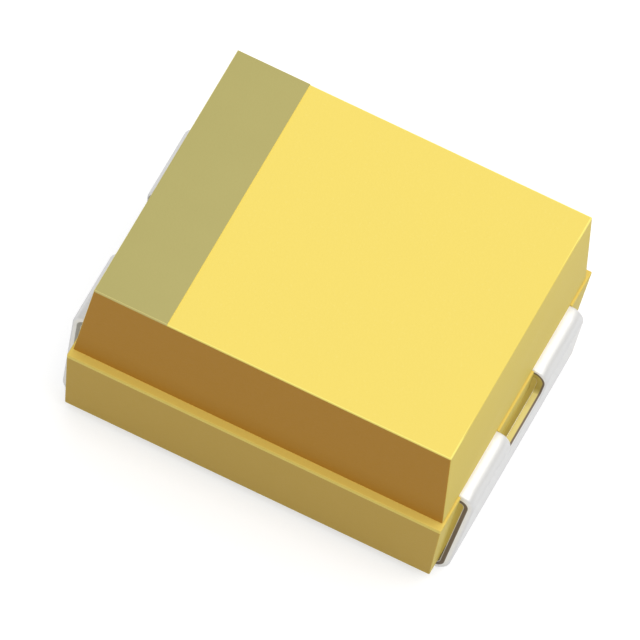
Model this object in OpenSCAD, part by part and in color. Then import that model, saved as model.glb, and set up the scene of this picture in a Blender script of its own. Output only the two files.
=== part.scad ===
// Moulded tantalum chip capacitor, 3528 size, 3.5 x 2.8 mm over the leads and the case.
// +X is the cathode end, -X the anode end with the polarity band, z = 0 is the board.

/* [Overall] */
// Length over both leads
total_l = 3.50; // [3.42:0.01:3.60]
// Height from the board to the top of the printed band
total_h = 1.75; // [1.70:0.01:2.00]
// Gap between the board and the underside of the case
standoff = 0.10; // [0.09:0.01:0.12]

/* [Moulded case] */
// Height of the parting plane, where the two halves of the mould meet
parting_z = 0.89; // [0.87:0.01:0.93]
// Length and width of the lower half at the parting plane, the widest of the case
case_l = 3.26; // [3.24:0.01:3.28]
case_w = 2.80; // [2.76:0.01:2.90]
// Length and width of the underside
bottom_l = 3.19; // [3.12:0.01:3.20]
bottom_w = 2.60; // [2.50:0.01:2.70]
// Length and width of the upper half at the parting plane, inside the ledge of the lower half
upper_l = 3.22; // [3.18:0.01:3.24]
upper_w = 2.65; // [2.60:0.01:2.70]
// Length and width of the top face
top_l = 3.10; // [3.00:0.01:3.16]
top_w = 2.60; // [2.50:0.01:2.64]

/* [Polarity band] */
// Length of the printed band, measured from the anode end of the top face
band_l = 0.635; // [0.40:0.005:0.90]
// Thickness of the ink
band_t = 0.01; // [0.005:0.001:0.02]

/* [Leads] */
// Thickness of the lead-frame sheet
lead_t = 0.08; // [0.07:0.005:0.09]
// Width over the two tabs where they leave the case
tab_w = 2.06; // [1.90:0.01:2.20]
// Width of the window between the tabs
window_w = 0.64; // [0.40:0.01:0.90]
// How far the window reaches below the parting plane
window_drop = 0.25; // [0.18:0.01:0.40]
// Width of the foot
foot_w = 2.30; // [2.10:0.01:2.40]
// Length of the foot, from the outside of the lead
foot_l = 0.80; // [0.60:0.01:1.10]
// Lean of the upright towards the case, in degrees
lean = 5; // [0:0.5:6]
// Outer radius of the bend at the case and of the bend at the foot
top_bend_r = 0.12; // [0.11:0.005:0.14]
heel_bend_r = 0.14; // [0.12:0.005:0.18]

/* [Capacitor element] */
// Size of the sintered tantalum pellet
pellet_l = 1.72; // [1.50:0.01:1.74]
pellet_w = 1.60; // [1.20:0.01:1.70]
pellet_h = 0.80; // [0.60:0.01:0.84]
// Thickness of the manganese dioxide, graphite and silver coats
dioxide_t = 0.03; // [0.02:0.005:0.03]
graphite_t = 0.02; // [0.01:0.005:0.02]
silver_t = 0.03; // [0.02:0.005:0.03]
// How much shorter each outer coat is than the one below it, at the anode face
coat_step = 0.06; // [0.03:0.01:0.10]
// Diameter of the tantalum wire, and how deep it is pressed into the pellet
wire_d = 0.20; // [0.16:0.01:0.24]
wire_depth = 0.80; // [0.40:0.01:1.20]
// Diameter and thickness of the washer that seals the wire's exit
washer_d = 0.50; // [0.40:0.01:0.60]
washer_t = 0.08; // [0.05:0.01:0.10]
// Thickness of the silver adhesive under the element
glue_t = 0.03; // [0.02:0.005:0.04]

/* [Inside ends of the leads] */
// Width of the paddle that carries the element, and where it ends
paddle_w = 1.30; // [0.80:0.01:1.50]
paddle_end_x = -0.20; // [-0.50:0.01:0.40]
// Width of the tongue that the wire is welded to, and where it ends
tongue_w = 0.60; // [0.40:0.01:0.90]
tongue_end_x = -1.02; // [-1.10:0.01:-0.98]
// Depth of the flat that the weld leaves on the wire
weld_flat = 0.02; // [0.01:0.005:0.03]

/* [Hidden] */
$fn = 48;

bend_steps = 12;
mid_t = lead_t / 2;
case_top_z = total_h - band_t;
lead_z = parting_z - mid_t;
toe_x = total_l / 2 - foot_l;

// The upright's middle line: its corners at the case and at the board, before they are bent round
top_mid_r = top_bend_r - mid_t;
heel_mid_r = heel_bend_r - mid_t;
shoulder_x = total_l / 2 - top_bend_r + top_mid_r * tan((90 + lean) / 2);
heel_x = shoulder_x - (lead_z - mid_t) * tan(lean);

// The tabs widen to the foot between these heights
flare_top_z = parting_z - 0.15;
flare_low_z = heel_bend_r;
window_r = 0.05;
window_in_x = case_l / 2 - 0.13;
neck_x = 1.30;

// The element, whose wire lies on top of the tongue and sets the element's height
wire_z = parting_z + wire_d / 2 - weld_flat;
face_x = -0.80;
coats_t = dioxide_t + graphite_t + silver_t;
wire_end_x = tongue_end_x - 0.23;
paddle_top_z = wire_z - pellet_h / 2 - coats_t - glue_t;
paddle_z = paddle_top_z - mid_t;
step_mid_r = lead_t;
step_x = face_x + pellet_l + coats_t + lead_t + mid_t;
glue_margin = 0.05;

// Bent strip: each side of the path turns through every corner on its own radius
function left_of(u) = [-u.y, u.x];
function heading(path, i) = (path[i + 1] - path[i]) / norm(path[i + 1] - path[i]);
function turned(v, a) = [v.x * cos(a) - v.y * sin(a), v.x * sin(a) + v.y * cos(a)];
function bend(corner, u, v, r, off) =
    let (a = atan2(u.x * v.y - u.y * v.x, u * v),
         turn = sign(a),
         centre = corner - u * r * tan(abs(a) / 2) + left_of(u) * turn * r,
         spoke = left_of(u) * (off - turn * r))
    [for (i = [0:bend_steps]) centre + turned(spoke, a * i / bend_steps)];
function side(path, radii, off) =
    let (last = len(path) - 1)
    [path[0] + left_of(heading(path, 0)) * off,
     for (i = [1:last - 1])
         each bend(path[i], heading(path, i - 1), heading(path, i), radii[i - 1], off),
     path[last] + left_of(heading(path, last - 1)) * off];
function backwards(list) = [for (i = [len(list) - 1:-1:0]) list[i]];
function corner_arc(centre, r, from, to) =
    [for (i = [0:bend_steps])
        let (a = from + (to - from) * i / bend_steps) centre + r * [cos(a), sin(a)]];

module strip(path, radii) {
    polygon(concat(side(path, radii, mid_t), backwards(side(path, radii, -mid_t))));
}

// Extrudes a drawing of the x-z plane along Y, and one of the y-z plane along X
module along_y(width) {
    rotate([90, 0, 0])
        linear_extrude(width, center = true)
            children();
}

module along_x(from, to) {
    translate([from, 0, 0])
        rotate([90, 0, 90])
            linear_extrude(to - from)
                children();
}

// Block with drafted sides: the overlap of its front and side outlines
module drafted_block(low, high, z0, z1) {
    intersection() {
        along_y(max(low.y, high.y))
            polygon([[-low.x / 2, z0], [low.x / 2, z0], [high.x / 2, z1], [-high.x / 2, z1]]);
        along_x(-max(low.x, high.x) / 2, max(low.x, high.x) / 2)
            polygon([[-low.y / 2, z0], [low.y / 2, z0], [high.y / 2, z1], [-high.y / 2, z1]]);
    }
}

// Outline of a lead seen from the end: two tabs that flare into the foot
module lead_front() {
    polygon([[-foot_w / 2, 0], [foot_w / 2, 0], [foot_w / 2, flare_low_z],
             [tab_w / 2, flare_top_z], [tab_w / 2, parting_z], [-tab_w / 2, parting_z],
             [-tab_w / 2, flare_top_z], [-foot_w / 2, flare_low_z]]);
}

module window_front() {
    low = parting_z - window_drop + window_r;
    inset = window_w / 2 - window_r;
    polygon(concat(corner_arc([-inset, low], window_r, 180, 270),
                   corner_arc([inset, low], window_r, 270, 360),
                   [[window_w / 2, parting_z + lead_t], [-window_w / 2, parting_z + lead_t]]));
}

// One lead, drawn at the +X end: sheet bent to the path, cut to its outline, then pierced
module lead(inside_path, inside_radii, neck_w) {
    outside_path = [[shoulder_x, lead_z], [heel_x, mid_t], [toe_x, mid_t]];
    difference() {
        intersection() {
            along_y(foot_w)
                strip(concat(inside_path, outside_path), concat(inside_radii, [top_mid_r, heel_mid_r]));
            along_x(-total_l, total_l)
                lead_front();
        }
        along_x(window_in_x, total_l)
            window_front();
        for (flank = [-1, 1])
            translate([neck_x - total_l, flank * (neck_w + foot_w) / 2, standoff + parting_z])
                cube([2 * total_l, foot_w, 2 * parting_z], center = true);
    }
}

module cathode_lead_shape() {
    lead([[paddle_end_x, paddle_z], [step_x, paddle_z], [step_x, lead_z]],
         [step_mid_r, step_mid_r], paddle_w);
}

module anode_lead_shape() {
    mirror([1, 0, 0])
        lead([[-tongue_end_x, lead_z]], [], tongue_w);
}

// The element with its coats up to a given thickness, from a given distance behind the anode face
module element(coat, setback) {
    translate([face_x + setback, -pellet_w / 2 - coat, wire_z - pellet_h / 2 - coat])
        cube([pellet_l + coat - setback, pellet_w + 2 * coat, pellet_h + 2 * coat]);
}

module wire_shape() {
    difference() {
        translate([wire_end_x, 0, wire_z])
            rotate([0, 90, 0])
                cylinder(h = face_x + wire_depth - wire_end_x, d = wire_d);
        translate([wire_end_x - wire_d, -wire_d, parting_z - wire_d])
            cube([tongue_end_x - wire_end_x + wire_d, 2 * wire_d, wire_d]);
    }
}

module washer_shape() {
    translate([face_x - washer_t, 0, wire_z])
        rotate([0, 90, 0])
            cylinder(h = washer_t, d = washer_d);
}

module glue_shape() {
    translate([paddle_end_x + glue_margin, glue_margin - paddle_w / 2, paddle_top_z])
        cube([face_x + pellet_l - glue_margin - paddle_end_x, paddle_w - 2 * glue_margin, glue_t]);
}

module case() {
    color("#f7df73")
        difference() {
            union() {
                drafted_block([bottom_l, bottom_w], [case_l, case_w], standoff, parting_z);
                drafted_block([upper_l, upper_w], [top_l, top_w], parting_z, case_top_z);
            }
            cathode_lead_shape();
            anode_lead_shape();
            element(dioxide_t, 0);
            element(dioxide_t + graphite_t, coat_step);
            element(coats_t, 2 * coat_step);
            wire_shape();
            washer_shape();
            glue_shape();
        }
}

module polarity_band() {
    color("#bbb172")
        translate([-top_l / 2, -top_w / 2, case_top_z])
            cube([band_l, top_w, band_t]);
}

module anode_lead() {
    color("#e8e8e8")
        anode_lead_shape();
}

module cathode_lead() {
    color("#e8e8e8")
        cathode_lead_shape();
}

module anode_wire() {
    color("#8c8f94")
        wire_shape();
}

module wire_washer() {
    color("#f4f4f0")
        difference() {
            washer_shape();
            wire_shape();
        }
}

module tantalum_pellet() {
    color("#5a5f68")
        difference() {
            element(0, 0);
            wire_shape();
        }
}

module dioxide_coat() {
    color("#2a2522")
        difference() {
            element(dioxide_t, 0);
            element(0, 0);
        }
}

module graphite_coat() {
    color("#3b3b3d")
        difference() {
            element(dioxide_t + graphite_t, coat_step);
            element(dioxide_t, 0);
        }
}

module silver_coat() {
    color("#c4c4c6")
        difference() {
            element(coats_t, 2 * coat_step);
            element(dioxide_t + graphite_t, coat_step);
        }
}

module silver_adhesive() {
    color("#a9a9ab")
        glue_shape();
}

case();
polarity_band();
anode_lead();
cathode_lead();
anode_wire();
wire_washer();
tantalum_pellet();
dioxide_coat();
graphite_coat();
silver_coat();
silver_adhesive();
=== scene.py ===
"""A moulded tantalum chip capacitor: case, printed band, bent leads and the sealed element."""

import math

import bmesh
import bpy
from mathutils import Matrix, Vector


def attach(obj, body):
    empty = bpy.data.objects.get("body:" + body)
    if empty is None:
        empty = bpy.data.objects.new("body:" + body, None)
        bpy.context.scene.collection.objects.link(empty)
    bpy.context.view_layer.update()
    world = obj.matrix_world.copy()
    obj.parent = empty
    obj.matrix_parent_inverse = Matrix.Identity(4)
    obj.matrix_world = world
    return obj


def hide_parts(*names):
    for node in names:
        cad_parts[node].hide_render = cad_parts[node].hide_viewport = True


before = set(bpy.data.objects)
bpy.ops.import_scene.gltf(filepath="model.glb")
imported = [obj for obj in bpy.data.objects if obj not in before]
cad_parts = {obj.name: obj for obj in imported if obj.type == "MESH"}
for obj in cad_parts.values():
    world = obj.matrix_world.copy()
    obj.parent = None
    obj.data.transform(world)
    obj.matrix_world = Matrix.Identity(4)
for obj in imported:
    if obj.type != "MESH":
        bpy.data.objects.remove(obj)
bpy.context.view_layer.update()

MM = 0.001

# The four rectangles between which the case is drafted: half length, half width, height in mm
UNDERSIDE = (1.595, 1.300, 0.10)
PARTING = (1.630, 1.400, 0.89)
STEP_IN = (1.610, 1.325, 0.89)
TOP = (1.550, 1.300, 1.74)
MOULD_EDGE = 0.012

# The printed band, in mm. Its film is a stack of rings: height, and how far inside the top face
BAND_END = -0.915
INK_TOP = 1.75
INK_RINGS = ((1.729, -0.0006), (1.738, -0.0006), (1.744, 0.001), (1.748, 0.004), (INK_TOP, 0.010))

# The leads, in mm: a sheet that leaves the case at the parting plane and is bent round to the foot
SHEET = 0.08
REACH = 1.7499
TOE = 0.95
LEAN = math.radians(5)
TOP_BEND = 0.12
HEEL_BEND = 0.14
TAB_HALF = 1.03
FOOT_HALF = 1.15
FLARE_HIGH = 0.74
NECK_END = 1.30
WINDOW_HALF = 0.32
WINDOW_LOW = 0.64
WINDOW_RADIUS = 0.05
WINDOW_START = 1.50
ROLLOVER = 0.024

# Where each lead ends inside the case, in mm, and its half width there
TONGUE_END = 1.02
TONGUE_HALF = 0.30
PADDLE_END = -0.20
PADDLE_LEVEL = 0.42
PADDLE_STEP = 1.12
PADDLE_HALF = 0.65

# The blank: row spacing in mm, points across it, the share of its half width that the window takes,
# and its layers from the inside of the bend, as parts of the thickness
ROW = 0.012
POINTS_ACROSS = 21
WINDOW_SHARE = 0.3
LAYERS = (0.70, 0.145, 0.115, 0.04)
RIM_FADE = 0.08
NECK_LOW = 0.2

WHITE = (1, 1, 1, 1)
BLACK = (0, 0, 0, 1)


# ---------------------------------------------------------------- node trees


class Link:
    """An output socket of a tree. Arithmetic on it adds Math nodes."""

    def __init__(self, graph, socket):
        self.graph = graph
        self.socket = socket

    def __getitem__(self, name):
        return Link(self.graph, self.graph.socket(self.socket.node.outputs, name))

    def math(self, operation, *others, clamp=False):
        settings = {"operation": operation, "use_clamp": clamp}
        return self.graph.add("ShaderNodeMath", settings, dict(enumerate((self, *others))))

    def reversed_math(self, operation, other):
        return self.graph.add("ShaderNodeMath", {"operation": operation}, {0: other, 1: self})

    def __add__(self, other):
        return self.math("ADD", other)

    def __radd__(self, other):
        return self.math("ADD", other)

    def __sub__(self, other):
        return self.math("SUBTRACT", other)

    def __rsub__(self, other):
        return self.reversed_math("SUBTRACT", other)

    def __mul__(self, other):
        return self.math("MULTIPLY", other)

    def __rmul__(self, other):
        return self.math("MULTIPLY", other)

    def __truediv__(self, other):
        return self.math("DIVIDE", other)

    def __gt__(self, other):
        return self.math("GREATER_THAN", other)

    def __lt__(self, other):
        return self.math("LESS_THAN", other)

    def __abs__(self):
        return self.math("ABSOLUTE")

    def clamped(self):
        return self.math("ADD", 0.0, clamp=True)

    def largest(self, other):
        return self.math("MAXIMUM", other)

    def smallest(self, other):
        return self.math("MINIMUM", other)

    def root(self):
        return self.math("SQRT")


class Graph:
    """A node tree that is being written."""

    def __init__(self, tree):
        self.tree = tree
        self.tree.nodes.clear()

    def add(self, kind, settings=None, inputs=None):
        """Adds a node, sets its settings and then its sockets, and gives its first output."""
        node = self.tree.nodes.new(kind)
        for name, value in (settings or {}).items():
            setattr(node, name, value)
        for name, value in (inputs or {}).items():
            self.plug(self.socket(node.inputs, name), value)
        shown = [socket for socket in node.outputs if socket.enabled]
        return Link(self, shown[0]) if shown else None

    def socket(self, sockets, name):
        if isinstance(name, int):
            return sockets[name]
        return next(s for s in sockets if name in (s.identifier, s.name) and s.enabled)

    def plug(self, socket, value):
        if isinstance(value, Link):
            self.tree.links.new(value.socket, socket)
        else:
            socket.default_value = value

    def parts(self, vector):
        split = self.add("ShaderNodeSeparateXYZ", None, {0: vector})
        return split["X"], split["Y"], split["Z"]

    def blend(self, factor, first, second):
        """Colour that goes from first to second as factor goes from 0 to 1."""
        inputs = {"Factor_Float": factor, "A_Color": first, "B_Color": second}
        return self.add("ShaderNodeMix", {"data_type": "RGBA"}, inputs)["Result_Color"]

    def ramp_between(self, value, low, high):
        """0 below low, 1 above high, straight between."""
        inputs = {"Value": value, "From Min": low, "From Max": high}
        return self.add("ShaderNodeMapRange", {"clamp": True}, inputs)


def srgb(code, shade=1.0):
    """Linear colour of a hexadecimal sRGB code, times shade."""
    parts = [int(code[i : i + 2], 16) / 255 for i in (0, 2, 4)]
    linear = [p / 12.92 if p <= 0.04045 else ((p + 0.055) / 1.055) ** 2.4 for p in parts]
    return (*[shade * p for p in linear], 1.0)


class Finish(Graph):
    """A material that is being written on Object coordinates, in millimetres."""

    def __init__(self, name):
        self.material = bpy.data.materials.new(name)
        self.material.use_nodes = True
        super().__init__(self.material.node_tree)
        place = self.add("ShaderNodeTexCoord")["Object"]
        settings = {"operation": "SCALE"}
        self.place = self.add("ShaderNodeVectorMath", settings, {0: place, "Scale": 1 / MM})
        self.x, self.y, self.z = self.parts(self.place)
        normal = self.add("ShaderNodeNewGeometry")["Normal"]
        self.facing_x, self.facing_y, self.facing_z = self.parts(normal)

    def stretched(self, x, y, z):
        """The place, pulled out or squeezed along each axis."""
        settings = {"operation": "MULTIPLY"}
        return self.add("ShaderNodeVectorMath", settings, {0: self.place, 1: (x, y, z)})

    def noise(self, size, detail=2.0, vector=None):
        """Noise whose lumps are about size millimetres across."""
        inputs = {"Vector": vector or self.place, "Scale": 1 / size, "Detail": detail}
        return self.add("ShaderNodeTexNoise", None, inputs)

    def cells(self, size):
        """Distance from the middle of cells about size millimetres across."""
        inputs = {"Vector": self.place, "Scale": 1 / size}
        return self.add("ShaderNodeTexVoronoi", None, inputs)

    def relief(self, height, depth):
        """Normal of a surface whose height varies, over depth millimetres."""
        inputs = {"Height": height, "Distance": depth * MM, "Strength": 1.0}
        return self.add("ShaderNodeBump", None, inputs)

    def surface(self, **sockets):
        """Ends the material with a Principled shader whose sockets are given by name."""
        named = {name.replace("_", " "): value for name, value in sockets.items()}
        shader = self.add("ShaderNodeBsdfPrincipled", None, named)
        self.add("ShaderNodeOutputMaterial", None, {"Surface": shader})
        return self.material


# ---------------------------------------------------------------- materials

# A normal's part along X or Y above which a face counts as an end or a long side
FLAT = 0.72
# Painted highlight for the ink where it turns over the rim of the top face
INK_RIM_HIGHLIGHT = srgb("c8bd78", 1.25)


def cast_yellow(f, grain):
    """Colour of the top face, a little greyer on the ends as painted shade."""
    flow = f.noise(0.9, 3.0)
    body = f.blend(flow, srgb("f7df6c", 0.90), srgb("f6dd69", 0.93))
    body = f.blend(f.ramp_between(grain, 0.58, 0.75) * 0.12, body, srgb("fff0a0", 0.95))
    # Painted shade: the end faces are greyed by a tenth
    return f.blend((abs(f.facing_x) > FLAT) * 0.10, body, (0.2, 0.2, 0.2, 1.0))


def shaded_long_sides(f, body, above):
    """Painted shade on the long sides: brown above the parting plane, darkest near its foot, olive
    below it.
    """
    # Both long sides are painted darker than the top, as shade on one uniform epoxy
    on_side = abs(f.facing_y) > FLAT
    # Painted shade: the brown darkens towards the parting plane
    foot_of_side = f.ramp_between(above, 0.0, 0.22)
    brown = f.blend(foot_of_side, (0.495, 0.238, 0.0275, 1.0), (0.546, 0.273, 0.034, 1.0))
    body = f.blend(on_side * (above > 0.002), body, brown)
    return f.blend(on_side * (above < -0.002), body, (0.686, 0.457, 0.090, 1.0))


def painted_gold_lines(f, body, above):
    """Painted light and shade in a gold shade of the epoxy: the ledge and a band below it on the long
    sides, a line across the parting plane on the ends, and a highlight line round the underside rim.
    """
    # A painted band of lit ledge gold on the long sides, lighter where it stands upright to offset its
    # shade, darker on its rounded edge
    painted_ledge_band = (abs(f.facing_y) > 0.3) * (above < 0.001) * (above > -0.040)
    lit_and_shaded_gold = f.blend(f.facing_z > 0.2, (1.0, 0.80, 0.19, 1.0), (0.84, 0.63, 0.13, 1.0))
    body = f.blend(painted_ledge_band, body, lit_and_shaded_gold)
    # Painted shade: the ledge takes a darker gold than the top
    ledge = (f.facing_z > 0.8) * (above < 0.05)
    # Painted light: a gold line either side of the parting plane on the ends
    painted_end_line = (abs(f.facing_x) > FLAT) * (abs(above) < 0.020)
    # Painted highlight: a gold line round the rim of the underside
    painted_rim_highlight = (f.z < UNDERSIDE[2] + 0.016) * (f.facing_z > -0.8)
    lines = ledge.largest(painted_end_line).largest(painted_rim_highlight)
    return f.blend(lines, body, (0.79, 0.585, 0.12, 1.0))


def top_rim_highlights(f, body):
    """Painted highlights on the rims of the long sides of the top face, and ink at the band, with a
    painted highlight where the ink turns over the rim.
    """
    # Painted highlight on the rounded rims of the long sides of the top face
    rim_highlight = (f.z > TOP[2] - 0.013) * (f.facing_z < 0.97) * (abs(f.facing_y) > 0.1)
    body = f.blend(rim_highlight * 0.8, body, (1.0, 0.88, 0.22, 1.0))
    ink = (f.x < BAND_END) * (f.z > TOP[2] - 0.008)
    body = f.blend(ink, body, srgb("bab06c", 0.90))
    # Painted highlight on the ink's rim
    return f.blend(ink * (f.facing_z < 0.9), body, INK_RIM_HIGHLIGHT)


def behind_lead(f, above):
    """1 on the end walls where a lead covers them, 0 in its window and elsewhere."""
    flare = f.ramp_between(f.z, FLARE_HIGH, HEEL_BEND) * (FOOT_HALF - TAB_HALF)
    covered = f.ramp_between(abs(f.y) - (TAB_HALF + flare), 0.02, -0.04)
    past_window = (abs(f.y) > WINDOW_HALF + 0.02).largest(f.z < WINDOW_LOW - 0.02)
    return covered * past_window * (abs(f.facing_x) > FLAT) * (above < -0.03)


def moulded_epoxy():
    """Yellow epoxy that glows faintly behind the leads, in place of light lost in the narrow gap."""
    f = Finish("moulded_epoxy")
    grain = f.noise(0.022, 3.0)
    above = f.z - PARTING[2]
    body = cast_yellow(f, grain)
    body = shaded_long_sides(f, body, above)
    body = painted_gold_lines(f, body, above)
    body = top_rim_highlights(f, body)
    f.material.cycles.emission_sampling = "NONE"
    return f.surface(
        Base_Color=body,
        Roughness=f.ramp_between(grain, 0.2, 0.8) * 0.12 + 0.52,
        Specular_IOR_Level=0.25,
        Emission_Color=f.blend(behind_lead(f, above), BLACK, (0.50, 0.41, 0.12, 1.0)),
        Emission_Strength=0.4,
        Normal=f.relief(grain, 0.0015),
    )


def band_ink():
    f = Finish("band_ink")
    cloud = f.noise(0.35, 3.0)
    grain = f.noise(0.015, 2.0)
    body = f.blend(cloud, srgb("b9af6b", 0.88), srgb("bbb16d", 0.90))
    # Painted highlight on the rim of the film
    body = f.blend(f.facing_z < 0.9, body, INK_RIM_HIGHLIGHT)
    return f.surface(
        Base_Color=body,
        Roughness=grain * 0.1 + 0.5,
        Specular_IOR_Level=0.25,
        Normal=f.relief(grain, 0.001),
    )


def tinned_lead():
    """Bright tin, greyer where it faces along X as painted shade, a painted reflection of the case on
    the cut faces in the window, and a painted shadow line along the cut edges, brown at +X and grey at
    -X.
    """
    f = Finish("tinned_lead")
    depth = f.add("ShaderNodeAttribute", {"attribute_name": "sheet_depth"})["Fac"]
    rolled = f.noise(0.03, 3.0, f.stretched(1.0, 0.15, 1.0))
    grain = f.noise(0.012, 2.0)
    tin = f.blend(rolled, srgb("ececec"), srgb("f6f6f6"))
    # Painted shade: the tin is greyer where it faces along X
    tin = f.blend(f.ramp_between(abs(f.facing_x), 0.1, 0.95), tin, srgb("d9d9d9"))
    in_window = (abs(f.y) < WINDOW_HALF + 0.01) * (f.z > WINDOW_LOW - 0.04)
    # Painted shadow: dark lines along the cut edges, at the outer side in the window and at the inner
    # side, next to the case, elsewhere
    outer_shadow_line = f.ramp_between(depth, 0.58, 0.64) * f.ramp_between(depth, 0.84, 0.79)
    inner_shadow_line = f.ramp_between(depth, 0.02, 0.06) * f.ramp_between(depth, 0.48, 0.42)
    # Painted reflection: the cut faces in the window take the yellow of the case beside them
    painted_case_reflection = (depth > 0.02) * (depth < LAYERS[0]) * in_window
    tin = f.blend(painted_case_reflection, tin, srgb("cdbd70"))
    # The painted shadow line
    line = outer_shadow_line * in_window + inner_shadow_line * (1 - in_window)
    tin = f.blend(line, tin, f.blend(f.x > 0, srgb("b6b6b6"), srgb("766858")))
    return f.surface(
        Base_Color=tin,
        Metallic=0.35 - line * 0.3,
        Roughness=grain * 0.12 + 0.28 + line * 0.3,
        Normal=f.relief(rolled, 0.0008),
    )


def tantalum_wire():
    f = Finish("tantalum_wire")
    drawn = f.noise(0.012, 2.0, f.stretched(0.05, 1.0, 1.0))
    body = f.blend(drawn, srgb("85888d"), srgb("9a9da2"))
    return f.surface(
        Base_Color=body, Metallic=1.0, Roughness=drawn * 0.2 + 0.25, Normal=f.relief(drawn, 0.001)
    )


def white_fluoropolymer():
    f = Finish("white_fluoropolymer")
    cloud = f.noise(0.06, 2.0)
    body = f.blend(cloud, srgb("ecece6"), srgb("f6f6f2"))
    return f.surface(Base_Color=body, Roughness=cloud * 0.1 + 0.4, Normal=f.relief(cloud, 0.001))


def sintered_tantalum():
    f = Finish("sintered_tantalum")
    grains = f.cells(0.02)
    body = f.blend(grains, srgb("74798a"), srgb("42464e"))
    return f.surface(
        Base_Color=body, Metallic=0.6, Roughness=grains * 0.2 + 0.6, Normal=f.relief(1 - grains, 0.006)
    )


def manganese_dioxide():
    f = Finish("manganese_dioxide")
    crust = f.noise(0.03, 4.0)
    body = f.blend(crust, srgb("1f1b19"), srgb("3a3430"))
    return f.surface(Base_Color=body, Roughness=crust * 0.2 + 0.65, Normal=f.relief(crust, 0.004))


def graphite():
    f = Finish("graphite")
    flakes = f.noise(0.02, 3.0, f.stretched(1.0, 1.0, 3.0))
    body = f.blend(flakes, srgb("333335"), srgb("4a4a4d"))
    return f.surface(
        Base_Color=body, Metallic=0.2, Roughness=flakes * 0.2 + 0.45, Normal=f.relief(flakes, 0.002)
    )


def silver_paint():
    f = Finish("silver_paint")
    flakes = f.cells(0.015)
    body = f.blend(flakes, srgb("cfcfd1"), srgb("a9a9ac"))
    return f.surface(
        Base_Color=body, Metallic=0.7, Roughness=flakes * 0.2 + 0.4, Normal=f.relief(flakes, 0.002)
    )


def silver_adhesive():
    f = Finish("silver_adhesive")
    lumps = f.noise(0.04, 3.0)
    body = f.blend(lumps, srgb("98989a"), srgb("b4b4b6"))
    return f.surface(
        Base_Color=body, Metallic=0.5, Roughness=lumps * 0.2 + 0.45, Normal=f.relief(lumps, 0.003)
    )


# ---------------------------------------------------------------- pieces


def cad_copy(node):
    """The CAD node's mesh in mm, its loose triangles merged into flat faces."""
    work = bmesh.new()
    work.from_mesh(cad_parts[node].data)
    bmesh.ops.scale(work, vec=Vector((1, 1, 1)) / MM, verts=work.verts)
    bmesh.ops.remove_doubles(work, verts=work.verts, dist=1e-5)
    bmesh.ops.dissolve_limit(
        work, angle_limit=math.radians(0.5), verts=work.verts, edges=work.edges
    )
    return work


def piece(name, work, material, nodes):
    """Makes the finished mesh an object that stands for its CAD nodes."""
    bmesh.ops.scale(work, vec=Vector((MM, MM, MM)), verts=work.verts)
    mesh = bpy.data.meshes.new(name)
    work.to_mesh(mesh)
    work.free()
    mesh.materials.append(material)
    made = bpy.data.objects.new(name, mesh)
    bpy.context.scene.collection.objects.link(made)
    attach(made, "root")
    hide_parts(*nodes)
    return made


def hull_lines():
    """The outer edges of the two halves of the case."""
    lines = []
    for low, high, rims in ((UNDERSIDE, PARTING, (UNDERSIDE, PARTING)), (STEP_IN, TOP, (TOP,))):
        for sx, sy in ((-1, -1), (1, -1), (1, 1), (-1, 1)):
            lines.append([Vector((sx * p[0], sy * p[1], p[2])) for p in (low, high)])
        for x, y, z in rims:
            for sign in (-1, 1):
                lines.append([Vector((-x, sign * y, z)), Vector((x, sign * y, z))])
                lines.append([Vector((sign * x, -y, z)), Vector((sign * x, y, z))])
    return lines


def lies_on(line, point):
    """Whether the point is on the endless line through two points."""
    start, end = line
    along = (end - start).normalized()
    off = (point - start) - along * (point - start).dot(along)
    return off.length < 2e-4


def case():
    """The CAD case with its outer edges rounded."""
    work = cad_copy("case")
    lines = hull_lines()
    edges = [
        e
        for e in work.edges
        if any(lies_on(line, e.verts[0].co) and lies_on(line, e.verts[1].co) for line in lines)
    ]
    rounded = bmesh.ops.bevel(
        work,
        geom=edges,
        offset=MOULD_EDGE,
        offset_type="OFFSET",
        segments=3,
        profile=0.5,
        affect="EDGES",
        clamp_overlap=False,
    )
    for face in rounded["faces"]:
        face.smooth = True
    piece("case_moulding", work, moulded_epoxy(), ["case"])


def band():
    """The ink film, which wraps the rim of the top face."""
    work = bmesh.new()
    rings = []
    for height, inset in INK_RINGS:
        left, side = inset - TOP[0], TOP[1] - inset
        corners = ((left, -side), (BAND_END, -side), (BAND_END, side), (left, side))
        rings.append([work.verts.new((x, y, height)) for x, y in corners])
    for low, high in zip(rings, rings[1:]):
        for i in range(4):
            j = (i + 1) % 4
            work.faces.new((low[i], low[j], high[j], high[i])).smooth = True
    work.faces.new(rings[-1])
    work.faces.new(reversed(rings[0]))
    made = piece("printed_band", work, band_ink(), ["polarity_band"])
    made.data.set_sharp_from_angle(angle=math.radians(50))


SHEET_SIZES = (
    "Length",
    "Thickness",
    "Neck",
    "Neck End",
    "Tab",
    "Foot",
    "Flare High",
    "Flare Low",
    "Window",
    "Window Low",
    "Window Radius",
    "Window Place",
    "Rollover",
)


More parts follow.
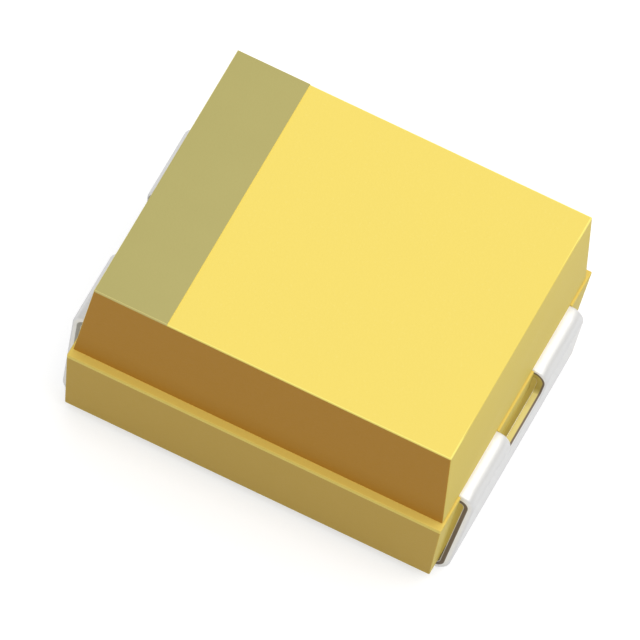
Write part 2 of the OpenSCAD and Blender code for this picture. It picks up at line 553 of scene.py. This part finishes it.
class SheetMaker(Graph):
    """Tree that cuts a flat blank with its window and bends it along the given path."""

    def __init__(self, material):
        tree = bpy.data.node_groups.new("bent_sheet", "GeometryNodeTree")
        super().__init__(tree)
        tree.interface.new_socket("Sheet", in_out="OUTPUT", socket_type="NodeSocketGeometry")
        tree.interface.new_socket("Path", in_out="INPUT", socket_type="NodeSocketGeometry")
        tree.interface.new_socket("Rows", in_out="INPUT", socket_type="NodeSocketInt")
        for name in SHEET_SIZES:
            tree.interface.new_socket(name, in_out="INPUT", socket_type="NodeSocketFloat")
        self.material = material
        self.given = self.add("NodeGroupInput")
        self.curve = self.bent_path()
        sheet = self.bend(self.thickened(self.blank()))
        sheet = self.add("GeometryNodeRealizeInstances", None, {0: sheet})
        inputs = {"Geometry": sheet, "Material": material}
        sheet = self.add("GeometryNodeSetMaterial", None, inputs)
        self.add("NodeGroupOutput", None, {"Sheet": sheet})

    def attribute(self, name):
        settings = {"data_type": "FLOAT"}
        return self.add("GeometryNodeInputNamedAttribute", settings, {"Name": name})

    def store(self, geometry, name, value):
        settings = {"data_type": "FLOAT", "domain": "POINT"}
        inputs = {"Geometry": geometry, "Name": name, "Value": value}
        return self.add("GeometryNodeStoreNamedAttribute", settings, inputs)

    def bent_path(self):
        """The given polyline with every corner rounded to its own radius."""
        curve = self.add("GeometryNodeMeshToCurve", None, {"Mesh": self.given["Path"]})
        inputs = {"Curve": curve, "Count": 16, "Radius": self.attribute("bend_radius")}
        return self.add("GeometryNodeFilletCurve", {"mode": "POLY"}, inputs)

    def on_path(self, along):
        """Place and direction on the path, at a part of its length."""
        settings = {"mode": "FACTOR"}
        inputs = {"Curves": self.curve, "Factor": along}
        place = self.add("GeometryNodeSampleCurve", settings, inputs)["Position"]
        return self.parts(place), self.parts(place["Tangent"])

    def blank(self):
        """Flat grid along and across the sheet, without the faces of the window."""
        inputs = {
            "Size X": 1.0,
            "Size Y": 2.0,
            "Vertices X": self.given["Rows"],
            "Vertices Y": POINTS_ACROSS,
        }
        grid = self.add("GeometryNodeMeshGrid", None, inputs)
        x, y, _ = self.parts(self.add("GeometryNodeInputPosition"))
        grid = self.store(grid, "along", x + 0.5)
        grid = self.store(grid, "across", y)
        along = self.attribute("along")
        (_, _, height), _ = self.on_path(along)
        middle = abs(self.attribute("across")) < WINDOW_SHARE
        above_sill = height > self.given["Window Low"]
        opening = middle * above_sill * (along > self.given["Window Place"])
        inputs = {"Geometry": grid, "Selection": opening}
        return self.add("GeometryNodeDeleteGeometry", {"domain": "FACE"}, inputs)

    def thickened(self, blank):
        """The blank as a closed slab from depth 0, inside the bend, to depth 1, outside it."""
        sheet, top = blank, True
        for rise in LAYERS:
            inputs = {
                "Mesh": sheet,
                "Selection": top,
                "Offset": (0, 0, 1),
                "Offset Scale": rise,
                "Individual": False,
            }
            sheet = self.add("GeometryNodeExtrudeMesh", {"mode": "FACES"}, inputs)
            top = sheet["Top"]
        back = self.add("GeometryNodeFlipFaces", None, {"Mesh": blank})
        both = self.add("GeometryNodeJoinGeometry")
        for part in (sheet, back):
            self.tree.links.new(part.socket, both.socket.node.inputs[0])
        inputs = {"Geometry": both, "Distance": 1e-5}
        sheet = self.add("GeometryNodeMergeByDistance", None, inputs)
        depth = self.parts(self.add("GeometryNodeInputPosition"))[2]
        return self.store(sheet, "sheet_depth", depth)

    def rolled_in(self, depth):
        """How far the rounded outer rim of a cut edge is drawn in."""
        radius = self.given["Rollover"]
        rise = ((depth - 1.0) * self.given["Thickness"] + radius).largest(0.0)
        return radius - (radius * radius - rise * rise).largest(0.0).root()

    def drawn_back(self, along, inside, beyond, inset):
        """The place along the path, moved back by the rolled rim at the sill and at the toe."""
        g = self.given
        (_, _, height), _ = self.on_path(along)
        past_sill = (g["Window Low"] - height) * inside * beyond
        near_sill = (1.0 - past_sill / RIM_FADE).clamped() * (past_sill > -ROW) * inside * beyond
        from_toe = (1.0 - along) * g["Length"]
        near_toe = (1.0 - from_toe / RIM_FADE).clamped()
        return along + inset * near_sill / g["Length"] - inset * near_toe / g["Length"]

    def half_width(self, x, z, inset):
        """Half the sheet's width: neck inside the case, then tabs, then a flare to the foot."""
        g = self.given
        flared = 1.0 - ((z - g["Flare Low"]) / (g["Flare High"] - g["Flare Low"])).clamped()
        half = g["Tab"] + (g["Foot"] - g["Tab"]) * flared
        in_neck = (x < g["Neck End"]) * (z > NECK_LOW)
        return half + (g["Neck"] - half) * in_neck - inset

    def half_opening(self, z, beyond, inset):
        """Half the window's width, with its lower corners rounded."""
        g = self.given
        radius = g["Window Radius"]
        short = radius - (z - g["Window Low"]).largest(0.0).smallest(radius)
        rounded = radius - (radius * radius - short * short).root()
        return g["Window"] - rounded + inset * (z > g["Window Low"] - ROW) * beyond

    def bend(self, sheet):
        """Cuts the slab to its outline and lays it along the path."""
        along, across = self.attribute("along"), self.attribute("across")
        depth = self.attribute("sheet_depth")
        inside = abs(across) < WINDOW_SHARE + 0.01
        beyond = along > self.given["Window Place"]
        inset = self.rolled_in(depth)
        (x, _, z), (dx, _, dz) = self.on_path(self.drawn_back(along, inside, beyond, inset))
        half = self.half_width(x, z, inset)
        opening = self.half_opening(z, beyond, inset)
        inner = (abs(across) / WINDOW_SHARE).smallest(1.0)
        outer = ((abs(across) - WINDOW_SHARE) / (1 - WINDOW_SHARE)).largest(0.0)
        y = (opening * inner + (half - opening) * outer) * across.math("SIGN")
        off = (depth - 0.5) * self.given["Thickness"]
        inputs = {"X": x - dz * off, "Y": y, "Z": z + dx * off}
        inputs = {"Geometry": sheet, "Position": self.add("ShaderNodeCombineXYZ", None, inputs)}
        return self.add("GeometryNodeSetPosition", None, inputs)


def path_mesh(corners, radii):
    """Polyline in the X-Z plane with the radius of each bend on its points."""
    mesh = bpy.data.meshes.new("path")
    edges = [(i, i + 1) for i in range(len(corners) - 1)]
    mesh.from_pydata([(x, 0, z) for x, z in corners], edges, [])
    radius = mesh.attributes.new("bend_radius", "FLOAT", "POINT")
    radius.data.foreach_set("value", (0, *radii, 0))
    return mesh


def path_length(corners, radii):
    """Length of the polyline once each corner is rounded."""
    legs = [Vector(b) - Vector(a) for a, b in zip(corners, corners[1:])]
    turns = [before.angle(after) for before, after in zip(legs, legs[1:])]
    bends = sum(r * (turn - 2 * math.tan(turn / 2)) for r, turn in zip(radii, turns))
    return sum(leg.length for leg in legs) + bends


def grown(maker, base, sizes):
    """The mesh that a tree makes from a base mesh."""
    holder = bpy.data.objects.new("holder", base)
    bpy.context.scene.collection.objects.link(holder)
    modifier = holder.modifiers.new("maker", "NODES")
    modifier.node_group = maker.tree
    for item in maker.tree.interface.items_tree:
        if item.in_out == "INPUT" and item.name in sizes:
            modifier[item.identifier] = sizes[item.name]
    graph = bpy.context.evaluated_depsgraph_get()
    mesh = bpy.data.meshes.new_from_object(holder.evaluated_get(graph), depsgraph=graph)
    bpy.data.objects.remove(holder)
    return mesh


def lead(name, node, maker, inside, inside_radii, neck, side):
    """One lead, made at the +X end from its path inside the case, and mirrored if side is -1."""
    middle = SHEET / 2
    level = PARTING[2] - middle
    top_radius, heel_radius = TOP_BEND - middle, HEEL_BEND - middle
    shoulder = REACH - TOP_BEND + top_radius * math.tan((math.pi / 2 + LEAN) / 2)
    heel = shoulder - (level - middle) * math.tan(LEAN)
    corners = [*inside, (shoulder, level), (heel, middle), (TOE, middle)]
    radii = [*inside_radii, top_radius, heel_radius]
    length = path_length(corners, radii)
    to_window = path_length([*inside, (WINDOW_START, level)], inside_radii)
    sizes = {
        "Rows": round(length / ROW),
        "Length": length,
        "Thickness": SHEET,
        "Neck": neck,
        "Neck End": NECK_END,
        "Tab": TAB_HALF,
        "Foot": FOOT_HALF,
        "Flare High": FLARE_HIGH,
        "Flare Low": HEEL_BEND,
        "Window": WINDOW_HALF,
        "Window Low": WINDOW_LOW,
        "Window Radius": WINDOW_RADIUS,
        "Window Place": to_window / length,
        "Rollover": ROLLOVER,
    }
    work = bmesh.new()
    work.from_mesh(grown(maker, path_mesh(corners, radii), sizes))
    if side < 0:
        bmesh.ops.scale(work, vec=Vector((-1, 1, 1)), verts=work.verts)
    bmesh.ops.recalc_face_normals(work, faces=work.faces)
    for face in work.faces:
        face.smooth, face.material_index = True, 0
    made = piece(name, work, maker.material, [node])
    made.data.set_sharp_from_angle(angle=math.radians(40))


def leads():
    """The anode lead ends in a tongue, the cathode lead in a step down to a paddle."""
    maker = SheetMaker(tinned_lead())
    level = PARTING[2] - SHEET / 2
    tongue = [(TONGUE_END, level)]
    lead("anode_lead_tinned", "anode_lead", maker, tongue, [], TONGUE_HALF, -1)
    paddle = [(PADDLE_END, PADDLE_LEVEL), (PADDLE_STEP, PADDLE_LEVEL), (PADDLE_STEP, level)]
    bends = [SHEET, SHEET]
    lead("cathode_lead_tinned", "cathode_lead", maker, paddle, bends, PADDLE_HALF, 1)


def dress_sealed_parts():
    """Gives the CAD nodes inside the case their own materials."""
    finishes = {
        "anode_wire": tantalum_wire(),
        "wire_washer": white_fluoropolymer(),
        "tantalum_pellet": sintered_tantalum(),
        "dioxide_coat": manganese_dioxide(),
        "graphite_coat": graphite(),
        "silver_coat": silver_paint(),
        "silver_adhesive": silver_adhesive(),
    }
    for node, material in finishes.items():
        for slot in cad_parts[node].material_slots:
            slot.material = material


# ---------------------------------------------------------------- stage


def camera():
    """A long lens above the near long side, rolled so that the case stands on a corner."""
    turn, height, roll = (math.radians(v) for v in (14.79, 56.15, 12.93))
    distance, view_width = 170 * MM, 4.988 * MM
    right_shift, down_shift = 0.188 * MM, 0.521 * MM
    flat = math.cos(height)
    back = Vector((math.sin(turn) * flat, -math.cos(turn) * flat, math.sin(height)))
    level = Vector((math.cos(turn), math.sin(turn), 0))
    right = Matrix.Rotation(roll, 3, back) @ level
    up = back.cross(right)
    aim = Vector((0, 0, INK_TOP * MM)) - right * right_shift - up * down_shift
    data = bpy.data.cameras.new("camera")
    data.lens = data.sensor_width * distance / view_width
    data.clip_start, data.clip_end = 0.01, 1.0
    made = bpy.data.objects.new("camera", data)
    turned = Matrix((right, up, back)).transposed().to_4x4()
    made.matrix_world = Matrix.Translation(aim + back * distance) @ turned
    bpy.context.scene.collection.objects.link(made)
    bpy.context.scene.camera = made


def floor_paint():
    """White to the eye, greyer to the light that bounces off it on to the part."""
    material = bpy.data.materials.new("floor_paint")
    material.use_nodes = True
    material.cycles.emission_sampling = "NONE"
    g = Graph(material.node_tree)
    paint = g.add("ShaderNodeBsdfDiffuse", None, {"Color": (0.5, 0.5, 0.5, 1)})
    glow = g.add("ShaderNodeEmission", None, {"Color": WHITE, "Strength": 0.62})
    seen = g.add("ShaderNodeAddShader", None, {0: paint, 1: glow})
    bounced = g.add("ShaderNodeBsdfDiffuse", None, {"Color": (0.4, 0.4, 0.4, 1)})
    is_bounce = g.add("ShaderNodeLightPath")["Is Diffuse Ray"]
    both = g.add("ShaderNodeMixShader", None, {0: is_bounce, 1: seen, 2: bounced})
    g.add("ShaderNodeOutputMaterial", None, {"Surface": both})
    return material


def floor():
    work = bmesh.new()
    bmesh.ops.create_grid(work, x_segments=1, y_segments=1, size=150 * MM)
    mesh = bpy.data.meshes.new("floor")
    work.to_mesh(mesh)
    work.free()
    mesh.materials.append(floor_paint())
    made = bpy.data.objects.new("floor", mesh)
    bpy.context.scene.collection.objects.link(made)


def studio():
    """Even white light from all round, and one wide soft light from above."""
    world = bpy.data.worlds.new("studio")
    world.use_nodes = True
    g = Graph(world.node_tree)
    glow = g.add("ShaderNodeBackground", None, {"Color": WHITE, "Strength": 0.60})
    g.add("ShaderNodeOutputWorld", None, {"Surface": glow})
    bpy.context.scene.world = world
    data = bpy.data.lights.new("key", "SUN")
    data.energy = 1.72
    data.angle = math.radians(75)
    key = bpy.data.objects.new("key", data)
    key.rotation_mode = "QUATERNION"
    key.rotation_quaternion = Vector((0.30, 0.12, 1.0)).to_track_quat("Z", "Y")
    bpy.context.scene.collection.objects.link(key)
    bpy.context.scene.view_settings.view_transform = "Standard"


camera()
studio()
floor()
case()
band()
leads()
dress_sealed_parts()
